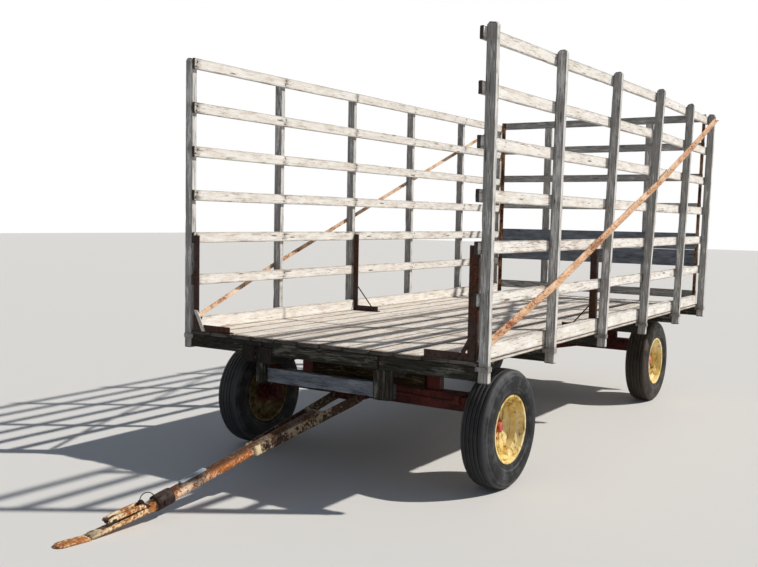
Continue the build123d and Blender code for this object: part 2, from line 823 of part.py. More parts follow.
def build_wheels():
    """Tyre, rim and hub of each wheel, turned about its own stub axle."""
    edge = wheel_radius - tread_crown
    seat = bead_radius - rim_fit
    rim_edge = rim_flange_radius - rim_flange_fit
    well_edge = rim_well_half_width + rim_well_slope
    well_top = seat - rim_well_drop
    well_middle = rim_well_radius + rim_wall / 2
    land = rim_well_radius - disc_rim_land
    bowl_edge = hub_flange_radius + disc_hub_land
    bore = spindle_radius + running_fit
    rear_pivot = rear_half_track - kingpin_inset
    for name, side, x, pivot, turn, less in (
            ("front_left", 1, front_axle_place, kingpin_y, wheel_turn, wheel_narrowing),
            ("front_right", -1, front_axle_place, kingpin_y, wheel_turn, wheel_narrowing),
            ("rear_left", 1, rear_axle_place, rear_pivot, 0, 0),
            ("rear_right", -1, rear_axle_place, rear_pivot, 0, 0)):
        frame = turned(place(x), side * pivot, turn)
        centre = frame.from_local_coords((0, side * (kingpin_inset + less), wheel_radius))
        out = side * frame.y_dir
        profile_plane = Plane(origin=centre, x_dir=out, z_dir=out.cross(Vector(0, 0, 1)))
        axle_line = Axis(centre, out)
        tread = tread_half_width - less
        tyre_half = tyre_half_width - less
        bead = bead_half_width - less
        rim_half = rim_half_width - less

        with BuildPart() as tyre:
            with BuildSketch(profile_plane) as section:
                with BuildLine():
                    ThreePointArc((-tread, edge), (0, wheel_radius), (tread, edge))
                    for way in (-1, 1):
                        ThreePointArc((way * tread, edge),
                                      (way * (tyre_half - shoulder_inset), shoulder_radius),
                                      (way * tyre_half, tyre_bulge_radius))
                        ThreePointArc((way * tyre_half, tyre_bulge_radius),
                                      (way * (tyre_half - wall_inset), wall_radius),
                                      (way * (bead + bead_flare), rim_flange_radius))
                        Line((way * (bead + bead_flare), rim_flange_radius), (way * bead, bead_radius))
                    Line((-bead, bead_radius), (bead, bead_radius))
                make_face()
            revolve(section.sketch, axis=axle_line)
        save(tyre, f"{name}_tyre")

        rim_outline = (mirrored([(rim_half + rim_wall, rim_edge), (rim_half, rim_edge),
                                 (bead + rim_fit, seat), (well_edge, well_top),
                                 (rim_well_half_width, rim_well_radius + rim_wall)])
                       + mirrored([(rim_half + rim_wall - rim_lip, seat - rim_wall),
                                   (well_edge, well_top - rim_wall),
                                   (rim_well_half_width, rim_well_radius)])[::-1])
        disc_out = disc_place - less
        bowl = disc_out - disc_dish
        disc_outline = [(disc_out, well_middle), (disc_out, land), (bowl, bowl_edge), (bowl, disc_hub_radius),
                        (bowl - disc_wall, disc_hub_radius), (bowl - disc_wall, bowl_edge),
                        (disc_out - disc_wall, land), (disc_out - disc_wall, well_middle)]
        flange = bowl - disc_wall
        cap_end = hub_cap_reach - less
        hub_outline = [(flange - hub_back, bore), (flange - hub_back, hub_drum_radius),
                       (flange - hub_flange_wall, hub_drum_radius),
                       (flange - hub_flange_wall, hub_flange_radius),
                       (flange, hub_flange_radius), (flange, hub_radius), (bowl + hub_shoulder, hub_radius),
                       (bowl + hub_shoulder, hub_cap_radius), (cap_end - hub_cap_crown, hub_cap_radius),
                       (cap_end, hub_cap_radius - hub_cap_crown), (cap_end, 0),
                       (cap_end - hub_cap_wall, 0), (cap_end - hub_cap_wall, bore)]
        for part_name, outlines in (("rim", (rim_outline, disc_outline)), ("hub", (hub_outline,))):
            with BuildPart() as ring:
                with BuildSketch(profile_plane) as section:
                    for outline in outlines:
                        with BuildLine():
                            Polyline(*outline, close=True)
                        make_face()
                revolve(section.sketch, axis=axle_line)
            save(ring, f"{name}_{part_name}")


build_bed()
build_racks()
build_tail()
build_gear()
build_steering()
build_knuckles()
build_tongue()
build_wheels()
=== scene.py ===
import json
import math
import random

import bmesh
import bpy
from mathutils import Matrix, Vector, noise


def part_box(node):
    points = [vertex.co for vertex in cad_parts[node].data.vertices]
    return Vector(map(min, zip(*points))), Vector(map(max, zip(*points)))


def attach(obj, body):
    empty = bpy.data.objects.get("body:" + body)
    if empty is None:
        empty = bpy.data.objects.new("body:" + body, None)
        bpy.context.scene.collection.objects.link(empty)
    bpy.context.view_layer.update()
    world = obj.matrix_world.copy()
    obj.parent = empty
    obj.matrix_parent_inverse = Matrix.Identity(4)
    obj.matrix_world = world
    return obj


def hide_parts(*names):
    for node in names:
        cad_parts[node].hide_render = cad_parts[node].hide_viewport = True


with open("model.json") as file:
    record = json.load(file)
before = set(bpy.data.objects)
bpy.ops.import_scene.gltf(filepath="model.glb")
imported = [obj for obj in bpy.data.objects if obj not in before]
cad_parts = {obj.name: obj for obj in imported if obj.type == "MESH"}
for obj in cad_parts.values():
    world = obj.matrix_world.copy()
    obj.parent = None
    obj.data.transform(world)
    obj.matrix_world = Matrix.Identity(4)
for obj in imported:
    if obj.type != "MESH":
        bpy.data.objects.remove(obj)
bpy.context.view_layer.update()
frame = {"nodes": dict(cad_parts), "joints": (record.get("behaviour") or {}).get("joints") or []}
random.seed(11)

mm = 0.001
UP = Vector((0, 0, 1))

# The camera stands ahead of the wagon and to its left, at a standing person's eye height
CAMERA_PLACE = (6.29848, 3.447257, 1.6993)
CAMERA_RIGHT = (-0.54483, 0.83833, 0.01918)
CAMERA_UP = (-0.04891, -0.05461, 0.99731)
CAMERA_LENS = 43.5
LAMP_AIM = Vector((0, 0, 0.9))

# The header's front face and the bed's middle, and the posts' front faces behind that face in mm
HEADER_LOW, HEADER_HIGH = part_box("front_header")
FRONT = HEADER_HIGH.x
MIDDLE = (HEADER_LOW.y + HEADER_HIGH.y) / 2
DECK = 889
POSTS = (0, -975, -1974, -2973, -4005, -4916)
POST_MIDDLES = [FRONT + (x - 21.5) * mm for x in POSTS]
SLAT_HEIGHTS = (2.743, 2.441, 2.142, 1.839, 1.544, 1.246, 0.849)

# Reading the CAD: steps per metre that its points are rounded to, how far apart the points of one
# section may be, and how close two rings of a board may come
POINT_STEPS = 5000
SAME_SECTION = 3 * mm
SAME_PLACE = 0.05 * mm
# A board's end: a ring close to it, where the even steps begin, and how far in it is torn
NEAR_END, TORN_END, TORN_REACH = 6 * mm, 30 * mm, 45 * mm
# A board's edge is chipped where the noise is over the limit, this much for each unit over
CHIP_LIMIT, CHIP_DEPTH = 0.32, 12 * mm
# Wear of a point that has none of its own
MIDDLING_WEAR = (0.5, 0.5, 0.0)
# Radius in metres at which the pattern round a turned piece has its true size
TURN_GRAIN = 0.36
# Heads: share of the radius and of the height, ring by ring
DOME_HEAD = ((1.0, -0.3), (1.0, 0.45), (0.6, 1.0))
FLAT_HEAD = ((1.0, -0.3), (1.0, 0.85), (0.86, 1.0))
# Nails in mm: radius and height of the heads, and radius of the bent points
SLAT_NAIL, DECK_NAIL, BENT_NAIL = (6.2, 2.4), (5.5, 1.6), 3
# Wheels in mm: half widths of tread, tyre and rim, the bead's distance from the middle, how much
# less each is in front, the ribs, and the nuts with the radius they stand at
HALF_TREAD, HALF_TYRE, HALF_RIM, BEAD, FRONT_LESS = 76, 104, 84, 76, 7
RIBS = 5
WHEEL_NUTS, NUT_CIRCLE = 6, 68


def at(x, y, z):
    """A place in metres, from mm ahead of the header's face, left of the bed's middle and up."""
    return Vector((FRONT + x * mm, MIDDLE + y * mm, z * mm))


def colour(code):
    """An sRGB hex colour as linear values."""
    parts = [int(code[i:i + 2], 16) / 255 for i in (0, 2, 4)]
    return tuple(c / 12.92 if c < 0.04045 else ((c + 0.055) / 1.055) ** 2.4
                 for c in parts) + (1.0,)


def new_object(name, data):
    """An object that is linked to the scene."""
    made = bpy.data.objects.new(name, data)
    bpy.context.scene.collection.objects.link(made)
    return made


def feed(tree, node, inputs):
    """Links or sets inputs of a node."""
    for socket, value in inputs.items():
        if isinstance(value, bpy.types.NodeSocket):
            tree.links.new(value, node.inputs[socket])
        else:
            node.inputs[socket].default_value = value


def add(tree, kind, inputs=(), ramp=(), **settings):
    """Adds one node with its settings, its input values or links, and its ramp."""
    made = tree.nodes.new("ShaderNode" + kind)
    for name, value in settings.items():
        setattr(made, name, value)
    feed(tree, made, dict(inputs))
    for i, (place, shade) in enumerate(ramp):
        stops = made.color_ramp.elements
        stop = stops[i] if i < 2 else stops.new(place)
        stop.position = place
        stop.color = shade
    return made


def calc(tree, operation, *values):
    """The result of one sum on links and numbers."""
    return add(tree, "Math", dict(enumerate(values)), operation=operation).outputs[0]


def weighed(tree, value, share, rest):
    """A value times its share, plus the rest."""
    return calc(tree, "MULTIPLY_ADD", value, share, rest)


def mapped(tree, value, low, high, start=0.0, end=1.0, curve="LINEAR"):
    """A value moved from the range low to high into the range start to end."""
    return add(tree, "MapRange", {0: value, 1: low, 2: high, 3: start, 4: end},
               interpolation_type=curve).outputs[0]


def mixed(tree, share, first, second):
    """Two colours, mixed by the share of the second."""
    return add(tree, "Mix", {0: share, 6: first, 7: second}, data_type="RGBA").outputs[2]


def scaled(tree, place, scale):
    """A place multiplied along its three axes."""
    return add(tree, "VectorMath", {0: place, 1: scale}, operation="MULTIPLY").outputs[0]


def noises(tree, place, patterns, roughness=0.6):
    """Noises by name, from rows of name, repeats per metre along three axes, and detail."""
    maps = {}
    for label, scale, detail in patterns:
        maps[label] = add(tree, "TexNoise", {"Vector": scaled(tree, place, scale), "Scale": 1.0,
                                             "Detail": detail, "Roughness": roughness}).outputs[0]
    return maps


def blended(tree, maps, first, second, share=0.6):
    """Two patterns added up, with this share of the first."""
    tone = calc(tree, "MULTIPLY", maps[first], share)
    return weighed(tree, maps[second], 1 - share, tone)


def toned(tree, tones, tone, low, middle, high):
    """A dark, a middle and a light tone, reached at these three values."""
    dark, medium, light = (colour(code) for code in tones)
    ramp = ((low, dark), (high, light), (middle, medium))
    return add(tree, "ValToRGB", {0: tone}, ramp).outputs[0]


def new_material(name):
    """A material with an empty tree and its surface shader, linked to the output."""
    material = bpy.data.materials.new(name)
    material.use_nodes = True
    tree = material.node_tree
    tree.nodes.clear()
    shader = add(tree, "BsdfPrincipled")
    add(tree, "OutputMaterial", {"Surface": shader.outputs[0]})
    return material, tree, shader


# How finely each pattern repeats per metre, along a board, across it and up, and its detail
TIMBER_PATTERNS = (
    ("board", (0.3, 0.3, 0.3), 1.0),
    ("fibre", (9, 330, 330), 4.0),
    ("streak", (2.4, 75, 75), 4.0),
    ("blotch", (7, 26, 26), 5.0),
    ("crack", (2.0, 70, 70), 2.0),
    ("speck", (60, 190, 190), 3.0),
)
STEEL_PATTERNS = (
    ("broad", (5, 5, 5), 3.0),
    ("mottle", (42, 42, 42), 5.0),
    ("grit", (330, 330, 330), 3.0),
    ("run", (75, 75, 5), 3.0),
)
RUBBER_PATTERNS = (
    ("dust", (9, 9, 9), 5.0),
    ("ring", (3, 90, 90), 3.0),
    ("grit", (420, 420, 420), 2.0),
)
KNOT_SPACING = (2.4, 15, 15)
# Amount of paint at which it ends: on timber a narrow range, on steel the middle of a range
TIMBER_LIMIT = (2.44, 2.58)
STEEL_LIMIT = 1.63
# Paint lost at a board's edges and beside its nails
EDGE_LOSS, STAIN_LOSS = 0.22, 0.3
# Roughness of bare and of painted timber, and how weakly each surface mirrors
TIMBER_ROUGH = (0.95, 0.72)
TIMBER_MIRROR, STEEL_MIRROR, RUBBER_MIRROR = 0.06, 0.22, 0.22
END_SOAK_AND_SHADE_TONE = "2f2a27"
TOP_SHADE_TONE = "2b221e"


def timber(name, paint, bare, cover, crack=0.018, dirt_and_shade_tone="4a423b", end_dark=0.02, depth=0.0012,
           shares=(1.3, 1.0, 0.7), knots=0.0, seams=0.0, front=0.0, carried=False):
    """Old sawn timber. Paint and bare are each a dark, a middle and a light tone, and cover is how
    much of the paint is left. It is worn off along edges, at ends and in long streaks. Shares are
    how much blotches, streaks and fibres break it up, knots say how dark the knots are, and seams
    how dark the painted shade along the boards' edges is. Front is how much of the bare tone is
    painted onto the faces that look ahead, as painted shade. The ends are dark, partly from
    soaking and partly as painted shade. A carried piece keeps its CAD mesh, with its boards across
    the wagon."""
    material, tree, shader = new_material(name)
    patterns = TIMBER_PATTERNS
    if carried:
        grain = add(tree, "TexCoord").outputs["Object"]
        edge, end, stain = add(tree, "SeparateXYZ", {0: (0.2, 0.5, 0.0)}).outputs
        patterns = [(label, (y, x, z), detail) for label, (x, y, z), detail in patterns]
    else:
        grain = add(tree, "Attribute", attribute_name="grain").outputs["Vector"]
        wear = add(tree, "Attribute", attribute_name="wear").outputs["Vector"]
        edge, end, stain = add(tree, "SeparateXYZ", {0: wear}).outputs
    maps = noises(tree, grain, patterns, 0.62)
    # Where the paint is left: broad blotches broken up by streaks and the grain
    left = cover - sum(shares) / 2 + 1.5
    for share, label in zip((*shares, 0.7, 0.35), ("blotch", "streak", "fibre", "board", "speck")):
        left = weighed(tree, maps[label], share, left)
    left = weighed(tree, edge, -EDGE_LOSS, left)
    left = weighed(tree, stain, -STAIN_LOSS, left)
    # Faces that look ahead get the bare tone in place of paint: painted shade
    front_shade = add(tree, "SeparateXYZ", {0: add(tree, "TexCoord").outputs["Normal"]}).outputs["X"]
    left = calc(tree, "ADD", left, mapped(tree, front_shade, 0.3, 0.8, end=-front))
    painted = mapped(tree, left, *TIMBER_LIMIT, curve="SMOOTHSTEP")
    shades = [toned(tree, tones, blended(tree, maps, first, second), 0.39, 0.49, 0.60)
              for tones, first, second in ((bare, "fibre", "streak"), (paint, "blotch", "fibre"))]
    shade = mixed(tree, painted, *shades)
    # Long thin drying cracks, only where the streaks are strong
    line = calc(tree, "ABSOLUTE", calc(tree, "SUBTRACT", maps["crack"], 0.5))
    line = mapped(tree, line, crack, crack * 0.3, curve="SMOOTHSTEP")
    line = calc(tree, "MULTIPLY", line, mapped(tree, maps["streak"], 0.48, 0.56))
    # Dirt in the cracks, round nails and straps and in knots, and painted shade along the boards'
    # edges, all in one dark tone
    stained = calc(tree, "MULTIPLY", stain, maps["speck"])
    dirt_and_shade = calc(tree, "MAXIMUM", line, mapped(tree, stained, 0.24, 0.55, end=0.7))
    knot = add(tree, "TexVoronoi", {"Vector": scaled(tree, grain, KNOT_SPACING), "Scale": 1.0})
    knotted = mapped(tree, knot.outputs["Distance"], 0.13, 0.07, end=knots)
    dirt_and_shade = calc(tree, "MAXIMUM", dirt_and_shade, knotted)
    seam_shade = calc(tree, "MULTIPLY", edge, maps["streak"])
    dirt_and_shade = calc(tree, "MAXIMUM", dirt_and_shade, mapped(tree, seam_shade, 0.12, 0.45, end=seams))
    shade = mixed(tree, dirt_and_shade, shade, colour(dirt_and_shade_tone))
    # The open end grain is dark: partly from soaking, partly painted shade
    end_soak_and_shade = weighed(tree, maps["fibre"], end_dark * 2.2, end_dark * -0.35)
    end_soak_and_shade = mapped(tree, calc(tree, "SUBTRACT", end_soak_and_shade, end), -0.004, 0.004, end=0.85)
    shade = mixed(tree, end_soak_and_shade, shade, colour(END_SOAK_AND_SHADE_TONE))
    height = weighed(tree, maps["fibre"], 0.7, painted)
    height = weighed(tree, line, -2.0, height)
    bump = add(tree, "Bump", {"Height": height, "Strength": 0.5, "Distance": depth})
    feed(tree, shader, {"Base Color": shade, "Specular IOR Level": TIMBER_MIRROR,
                        "Roughness": mapped(tree, painted, 0, 1, *TIMBER_ROUGH),
                        "Normal": bump.outputs[0]})
    return material


def steel(name, coat, rust, cover, rough=(0.85, 0.6), runs=0.25, grit=0.5, edge_rust=0.5,
          scale=1.0, top_shade=0.0, blend=0.1):
    """Old painted or bare steel. Coat and rust are each a dark, a middle and a light tone, and
    cover is how much of the coat is left. Rust runs down from its spots and comes through at the
    edges. Top shade is how dark the faces that look up are painted in patches, a painted shade,
    and blend is how gently the coat gives way to rust."""
    material, tree, shader = new_material(name)
    coordinates = add(tree, "TexCoord").outputs
    maps = noises(tree, coordinates["Object"],
                  [(label, tuple(s * scale for s in sizes), detail)
                   for label, sizes, detail in STEEL_PATTERNS])
    # The rounded normal differs from the flat one only beside an edge
    rounded = add(tree, "Bevel", {"Radius": 0.0025}, samples=4).outputs[0]
    flat = add(tree, "NewGeometry").outputs["Normal"]
    same = add(tree, "VectorMath", {0: rounded, 1: flat}, operation="DOT_PRODUCT")
    edge = mapped(tree, same.outputs["Value"], 0.995, 0.85)
    left = weighed(tree, maps["broad"], 0.9, cover)
    for share, label in ((1.0, "mottle"), (runs, "run"), (0.35, "grit")):
        left = weighed(tree, maps[label], share, left)
    left = weighed(tree, edge, -edge_rust, left)
    coated = mapped(tree, left, STEEL_LIMIT + (runs - blend) / 2, STEEL_LIMIT + (runs + blend) / 2,
                    curve="SMOOTHSTEP")
    shades = [toned(tree, tones, blended(tree, maps, first, second), 0.38, 0.5, 0.62)
              for tones, first, second in ((rust, "mottle", "grit"), (coat, "broad", "mottle"))]
    shade = mixed(tree, coated, *shades)
    # Faces that look up are darkened in patches: painted shade
    if top_shade:
        top_shade_mask = add(tree, "SeparateXYZ", {0: coordinates["Normal"]}).outputs["Z"]
        top_shade_mask = weighed(tree, maps["mottle"], 0.9, top_shade_mask)
        top_shade_mask = mapped(tree, top_shade_mask, 0.7, 1.15, end=top_shade)
        shade = mixed(tree, top_shade_mask, shade, colour(TOP_SHADE_TONE))
    height = weighed(tree, maps["grit"], grit, coated)
    height = weighed(tree, maps["mottle"], grit * 2, height)
    bump = add(tree, "Bump", {"Height": height, "Strength": 0.45, "Distance": 0.001,
                              "Normal": rounded})
    feed(tree, shader, {"Base Color": shade, "Roughness": mapped(tree, coated, 0, 1, *rough),
                        "Specular IOR Level": STEEL_MIRROR, "Normal": bump.outputs[0]})
    return material


def rubber(name, tones, painted_shade_tone):
    """Old tyre rubber: grey with dust and sun, with painted shade on the tread, in the grooves and
    by the bead, and lighter rib edges and shoulder bands, partly worn and partly painted highlight.
    """
    material, tree, shader = new_material(name)
    turned = add(tree, "Attribute", attribute_name="grain").outputs["Vector"]
    wear = add(tree, "Attribute", attribute_name="wear").outputs["Vector"]
    edge, _, painted_shade = add(tree, "SeparateXYZ", {0: wear}).outputs
    maps = noises(tree, turned, RUBBER_PATTERNS)
    tone = blended(tree, maps, "dust", "ring", 0.7)
    # Lighter rib edges and shoulder bands: partly worn rubber, partly painted highlight
    tone = weighed(tree, edge, 0.24, tone)
    shade = toned(tree, tones, tone, 0.36, 0.5, 0.66)
    # Painted shade on the tread, in the grooves and by the bead
    shade = mixed(tree, painted_shade, shade, colour(painted_shade_tone))
    height = weighed(tree, maps["grit"], 0.4, maps["ring"])
    bump = add(tree, "Bump", {"Height": height, "Strength": 0.35, "Distance": 0.001})
    feed(tree, shader, {"Base Color": shade, "Roughness": 0.62,
                        "Specular IOR Level": RUBBER_MIRROR, "Normal": bump.outputs[0]})
    return material


# Bare weathered timber: dark, middle and light tones where it is sound and where it is worn,
# made darker as painted shade for the parts under the bed
GREY_WITH_SHADE = (("41413c", "55544d", "706e65"), ("24231f", "34332e", "4a4943"))
MATERIALS = {
    # Thin old white paint, pinkish and beige where the primer and bare wood show through in
    # streaks;
    # the bare tone on the faces that look ahead is painted shade
    "rack": timber(
        "flaked white paint on sawn slats", ("d6cbc0", "e6e1da", "f0eeea"),
        ("8c8176", "ada195", "cdc1b4"), 0.88, crack=0.012, end_dark=0.008, depth=0.0008,
        shares=(0.9, 1.1, 1.6), knots=0.8, seams=0.4, front=0.5),
    # The posts' paint has gone thin, with dark drying cracks; the grey bare tone on the faces that
    # look ahead is painted shade
    "post": timber(
        "greyed white paint on sawn posts", ("bab8b5", "d2d0cd", "e4e2df"),
        ("83817e", "a09e9a", "b9b7b4"), 0.80, crack=0.022, end_dark=0.006, depth=0.0009,
        shares=(0.8, 0.9, 1.3), knots=0.75, seams=0.2, front=0.34),
    # Bed planks, bleached by the sun, dark at their broken front ends: partly end grain dark from
    # soaking, partly painted shade
    "deck": timber(
        "sun bleached bare planks", ("d3c6b8", "e3dacf", "efeae3"), ("a3968a", "c4b7aa", "dccfc2"),
        0.66, crack=0.014, end_dark=0.03, depth=0.0008, shares=(0.4, 1.8, 0.9), knots=0.6,
        seams=0.9),
    # Timber that never had paint: dark, greenish grey and split, partly as painted shade
    "grey": timber("bare grey timber darkened as painted shade", *GREY_WITH_SHADE, 0.42, crack=0.04, dirt_and_shade_tone="1c1a17",
                   end_dark=0.008),
    "joist": timber("bare grey joists darkened as painted shade", *GREY_WITH_SHADE, 0.42, crack=0.04, dirt_and_shade_tone="1c1a17",
                    carried=True),
    # The cross board and the tail panel: white painted boards given a dark blue grey, as painted
    # shade
    "blue": timber(
        "white painted board darkened to blue grey as painted shade", ("646a72", "767d86", "8d949c"),
        ("3f4247", "54575c", "6d6f73"), 0.80, end_dark=0.008),
    # Bolsters: oiled hardwood gone olive brown, and made darker as painted shade
    "bolster": timber(
        "oiled hardwood gone brown", ("443a28", "584c35", "6f6147"),
        ("211b13", "33291c", "463a28"), 0.46, crack=0.035, dirt_and_shade_tone="1a1610", end_dark=0.008),
    # Pale chalky paint over orange rust, on the braces
    "brace": steel(
        "chalky pale paint over orange rust", ("c79d7c", "dab795", "ead0b6"),
        ("6e3c29", "985b40", "bb8362"), 0.63, grit=0.6, scale=1.4, blend=0.25),
    # Corner uprights of the tail: the same steel with less paint left, and darker as painted shade
    "upright": steel(
        "brown rust with the last of pale paint", ("8a6145", "a47a58", "c39c78"),
        ("33211a", "4d3124", "75492f"), 0.5, grit=0.6, scale=1.4, blend=0.3),
    # Stake brackets: brown rust, nearly black in the corners, and made darker as painted shade
    "bracket": steel(
        "dark brown rust", ("251d1b", "322623", "43322c"), ("2a1a14", "4b2d20", "85513a"), 0.52,
        grit=0.8, edge_rust=0.7),
    # Straps: dull grey brown, speckled with rust
    "strap": steel(
        "dull zinc speckled with rust", ("6d6a68", "8b8784", "a5a09c"),
        ("4b3428", "6a4938", "85604b"), 0.66, scale=1.6, edge_rust=0.3),
    # Running gear: red paint, faded and dusty, brown where it has gone, and made darker as painted
    # shade
    "gear": steel(
        "faded red paint on steel", ("35120f", "4a1a16", "612a24"), ("231613", "35221c", "4c3328"),
        0.62),
    # Hub caps: red paint made brighter, as painted light
    "hub": steel(
        "brighter red paint on steel", ("a8483d", "c46558", "e0958a"),
        ("38221b", "523127", "704437"), 0.74),
    # Rims: cream yellow paint with brown runs
    "rim": steel(
        "cream yellow paint with rust runs", ("d2b259", "e5cd84", "f2e5b8"),
        ("5a3c1a", "8c612a", "ba8d45"), 0.72, runs=1.7, edge_rust=0.2, rough=(0.8, 0.45),
        scale=0.55, blend=0.55),
    # The front right rim: the rim paint darkened to olive brown all over, as painted shade
    "dull_rim": steel(
        "rim paint darkened to olive brown as painted shade", ("4d4228", "665836", "7f6f4a"),
        ("32260f", "4b3a1d", "6a5430"), 0.55, runs=0.9, scale=0.7, blend=0.4),
    # Ends of the members: the last of a pale yellow paint
    "cream": steel(
        "pale yellow paint on steel", ("c9ad7c", "dcc699", "ebdcb8"),
        ("6d4a2a", "96703f", "b8935c"), 0.62, scale=1.5),
    # Tongue pole: orange rust with the last of a pale coat, pitted, and darker on top as painted
    # shade
    "pole": steel(
        "orange rust with worn pale paint", ("cfa07c", "dfba98", "ebd2b8"),
        ("7d4420", "b56c38", "d6965a"), 0.47, grit=0.9, scale=1.5, top_shade=0.85),
    # Tongue members: tan and dark brown speckle
    "member": steel(
        "tan and brown speckled rust", ("7b6a54", "94826a", "ad9b80"),
        ("2c201a", "443227", "634b39"), 0.46, grit=0.9, scale=1.5),
    # Hitch: bright orange rust where the forging was handled, deep brown in its hollows
    "hitch": steel(
        "bright orange rust on forged steel", ("d0a372", "e1bf92", "efd8b3"),
        ("6b3d21", "a5683a", "cc935a"), 0.50, grit=1.0, scale=1.5),
    # One strut: white paint over steel
    "chalk": steel(
        "white paint on steel", ("c6beb4", "dcd6ce", "ebe7e1"), ("6a4a38", "8d6a52", "b08d72"),
        0.70, scale=1.5),
    # Collar and pin ring: crusted with black rust
    "dark": steel(
        "blackened rust", ("241a18", "30231f", "3d2c27"), ("1c1311", "2c1d19", "452e26"), 0.5,
        grit=1.0),
    # Nails and bolts: small dark heads
    "nail": steel(
        "rusted nail heads", ("2a221f", "352a26", "43352f"), ("2a1a14", "40281f", "5a3a2d"), 0.4),
    # A loose flat bar, still grey
    "bare": steel(
        "dull bare steel", ("858d97", "a3acb6", "c0c7cf"), ("4b3a32", "66503f", "83694f"), 0.8),
    # Tyres: dark rubber with painted shade on the tread and in the grooves, the rear ones browner
    # with dust on their walls
    "tyre": rubber("greyed rubber", ("111214", "1c1d1f", "4a4b4e"), "08080a"),
    "dusty": rubber("rubber pale with dust", ("161514", "25221f", "554d43"), "0a0909"),
}
# CAD nodes that keep their shape take their finish from this table
FINISHES = {
    "cross_joists": "joist", "side_braces": "brace", "stake_brackets": "bracket",
    "post_straps": "strap", "tail_uprights": "upright", "front_axle": "gear", "rear_axle": "gear",
    "bolster_stakes": "gear", "steering_head": "gear", "left_knuckle": "gear",
    "right_knuckle": "gear", "left_tie_rod": "gear", "right_tie_rod": "gear",
    "reach_pole": "gear", "reach_hounds": "gear", "tongue_pole": "pole",
    "tongue_members": "member",
}


class Work:
    """Points and faces of one piece. Each point keeps its place in its own board or round its own
    wheel (grain, in metres) and its wear. On a board, wear is the nearness to an edge, the
    distance from the end, and stain. On a tyre it is wear that also stands for painted highlight,
    nothing, and painted shade."""

    def __init__(self):
        self.points = []
        self.faces = []
        self.flat = []
        self.grain = []
        self.wear = []

    def ring(self, points, grain=None, wear=None):
        """Adds a loop of points and returns their numbers."""
        first = len(self.points)
        self.points += points
        self.grain += grain or points
        self.wear += wear or [MIDDLING_WEAR] * len(points)
        return list(range(first, first + len(points)))

    def skin(self, rings, flat=False, caps=True):
        """Faces between rings that are closed loops, and flat caps on both ends."""
        for low, high in zip(rings, rings[1:]):
            for i in range(len(low)):
                j = (i + 1) % len(low)
                self.faces.append((low[i], low[j], high[j], high[i]))
                self.flat.append(flat)
        if caps:
            self.faces += [rings[0][::-1], rings[-1]]
            self.flat += [True, True]

    def finish(self, name, body, slot, material, replaces=()):
        """Makes the piece, fastens it to its body and takes the place of the CAD nodes named."""
        mesh = bpy.data.meshes.new(name)
        mesh.from_pydata(self.points, [], self.faces)
        mesh.polygons.foreach_set("use_smooth", [not flat for flat in self.flat])
        for label, values in (("grain", self.grain), ("wear", self.wear)):
            layer = mesh.attributes.new(label, "FLOAT_VECTOR", "POINT")
            layer.data.foreach_set("vector", [c for value in values for c in value])
        work = bmesh.new()
        work.from_mesh(mesh)
        bmesh.ops.recalc_face_normals(work, faces=work.faces)
        work.to_mesh(mesh)
        work.free()
        mesh.materials.append(MATERIALS[material])
        piece = new_object(name, mesh)
        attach(piece, body)
        if replaces:
            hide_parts(*replaces)


def solids(node):
    """The separate solids of a CAD node, each as the list of its corner points."""
    mesh = frame["nodes"][node].data
    keys = {}
    index = [keys.setdefault(tuple(round(c * POINT_STEPS) for c in v.co), len(keys))
             for v in mesh.vertices]
    parent = list(range(len(keys)))

    def root(i):
        while parent[i] != i:
            parent[i] = parent[parent[i]]
            i = parent[i]
        return i

    for polygon in mesh.polygons:
        for v in polygon.vertices[1:]:
            parent[root(index[v])] = root(index[polygon.vertices[0]])
    groups = {}
    for v, i in zip(mesh.vertices, index):
        groups.setdefault(root(i), []).append(v.co.copy())
    # By height, then across, then along
    return sorted(groups.values(),
                  key=lambda group: [round(min(p[k] for p in group), 3) for k in (2, 1, 0)])


def corners_of(points):
    """The low and high corner of a list of points."""
    return (Vector([min(p[k] for p in points) for k in range(3)]),
            Vector([max(p[k] for p in points) for k in range(3)]))


def sections(points, axis):
    """A solid's sections at each place along its length that has corners: the place, then the low
    and high of its two other axes."""
    a, b = [k for k in range(3) if k != axis]
    rows = []
    for p in sorted(points, key=lambda p: p[axis]):
        if not rows or p[axis] - rows[-1][0][axis] > SAME_SECTION:
            rows.append([])
        rows[-1].append(p)
    return [(sum(p[axis] for p in row) / len(row), min(p[a] for p in row), max(p[a] for p in row),
             min(p[b] for p in row), max(p[b] for p in row)) for row in rows]


def box_rows(solid, axis):
    """Sections of a plain square board."""
    low, high = corners_of(solid)
    a, b = [k for k in range(3) if k != axis]
    return [(place, low[a], high[a], low[b], high[b]) for place in (low[axis], high[axis])]


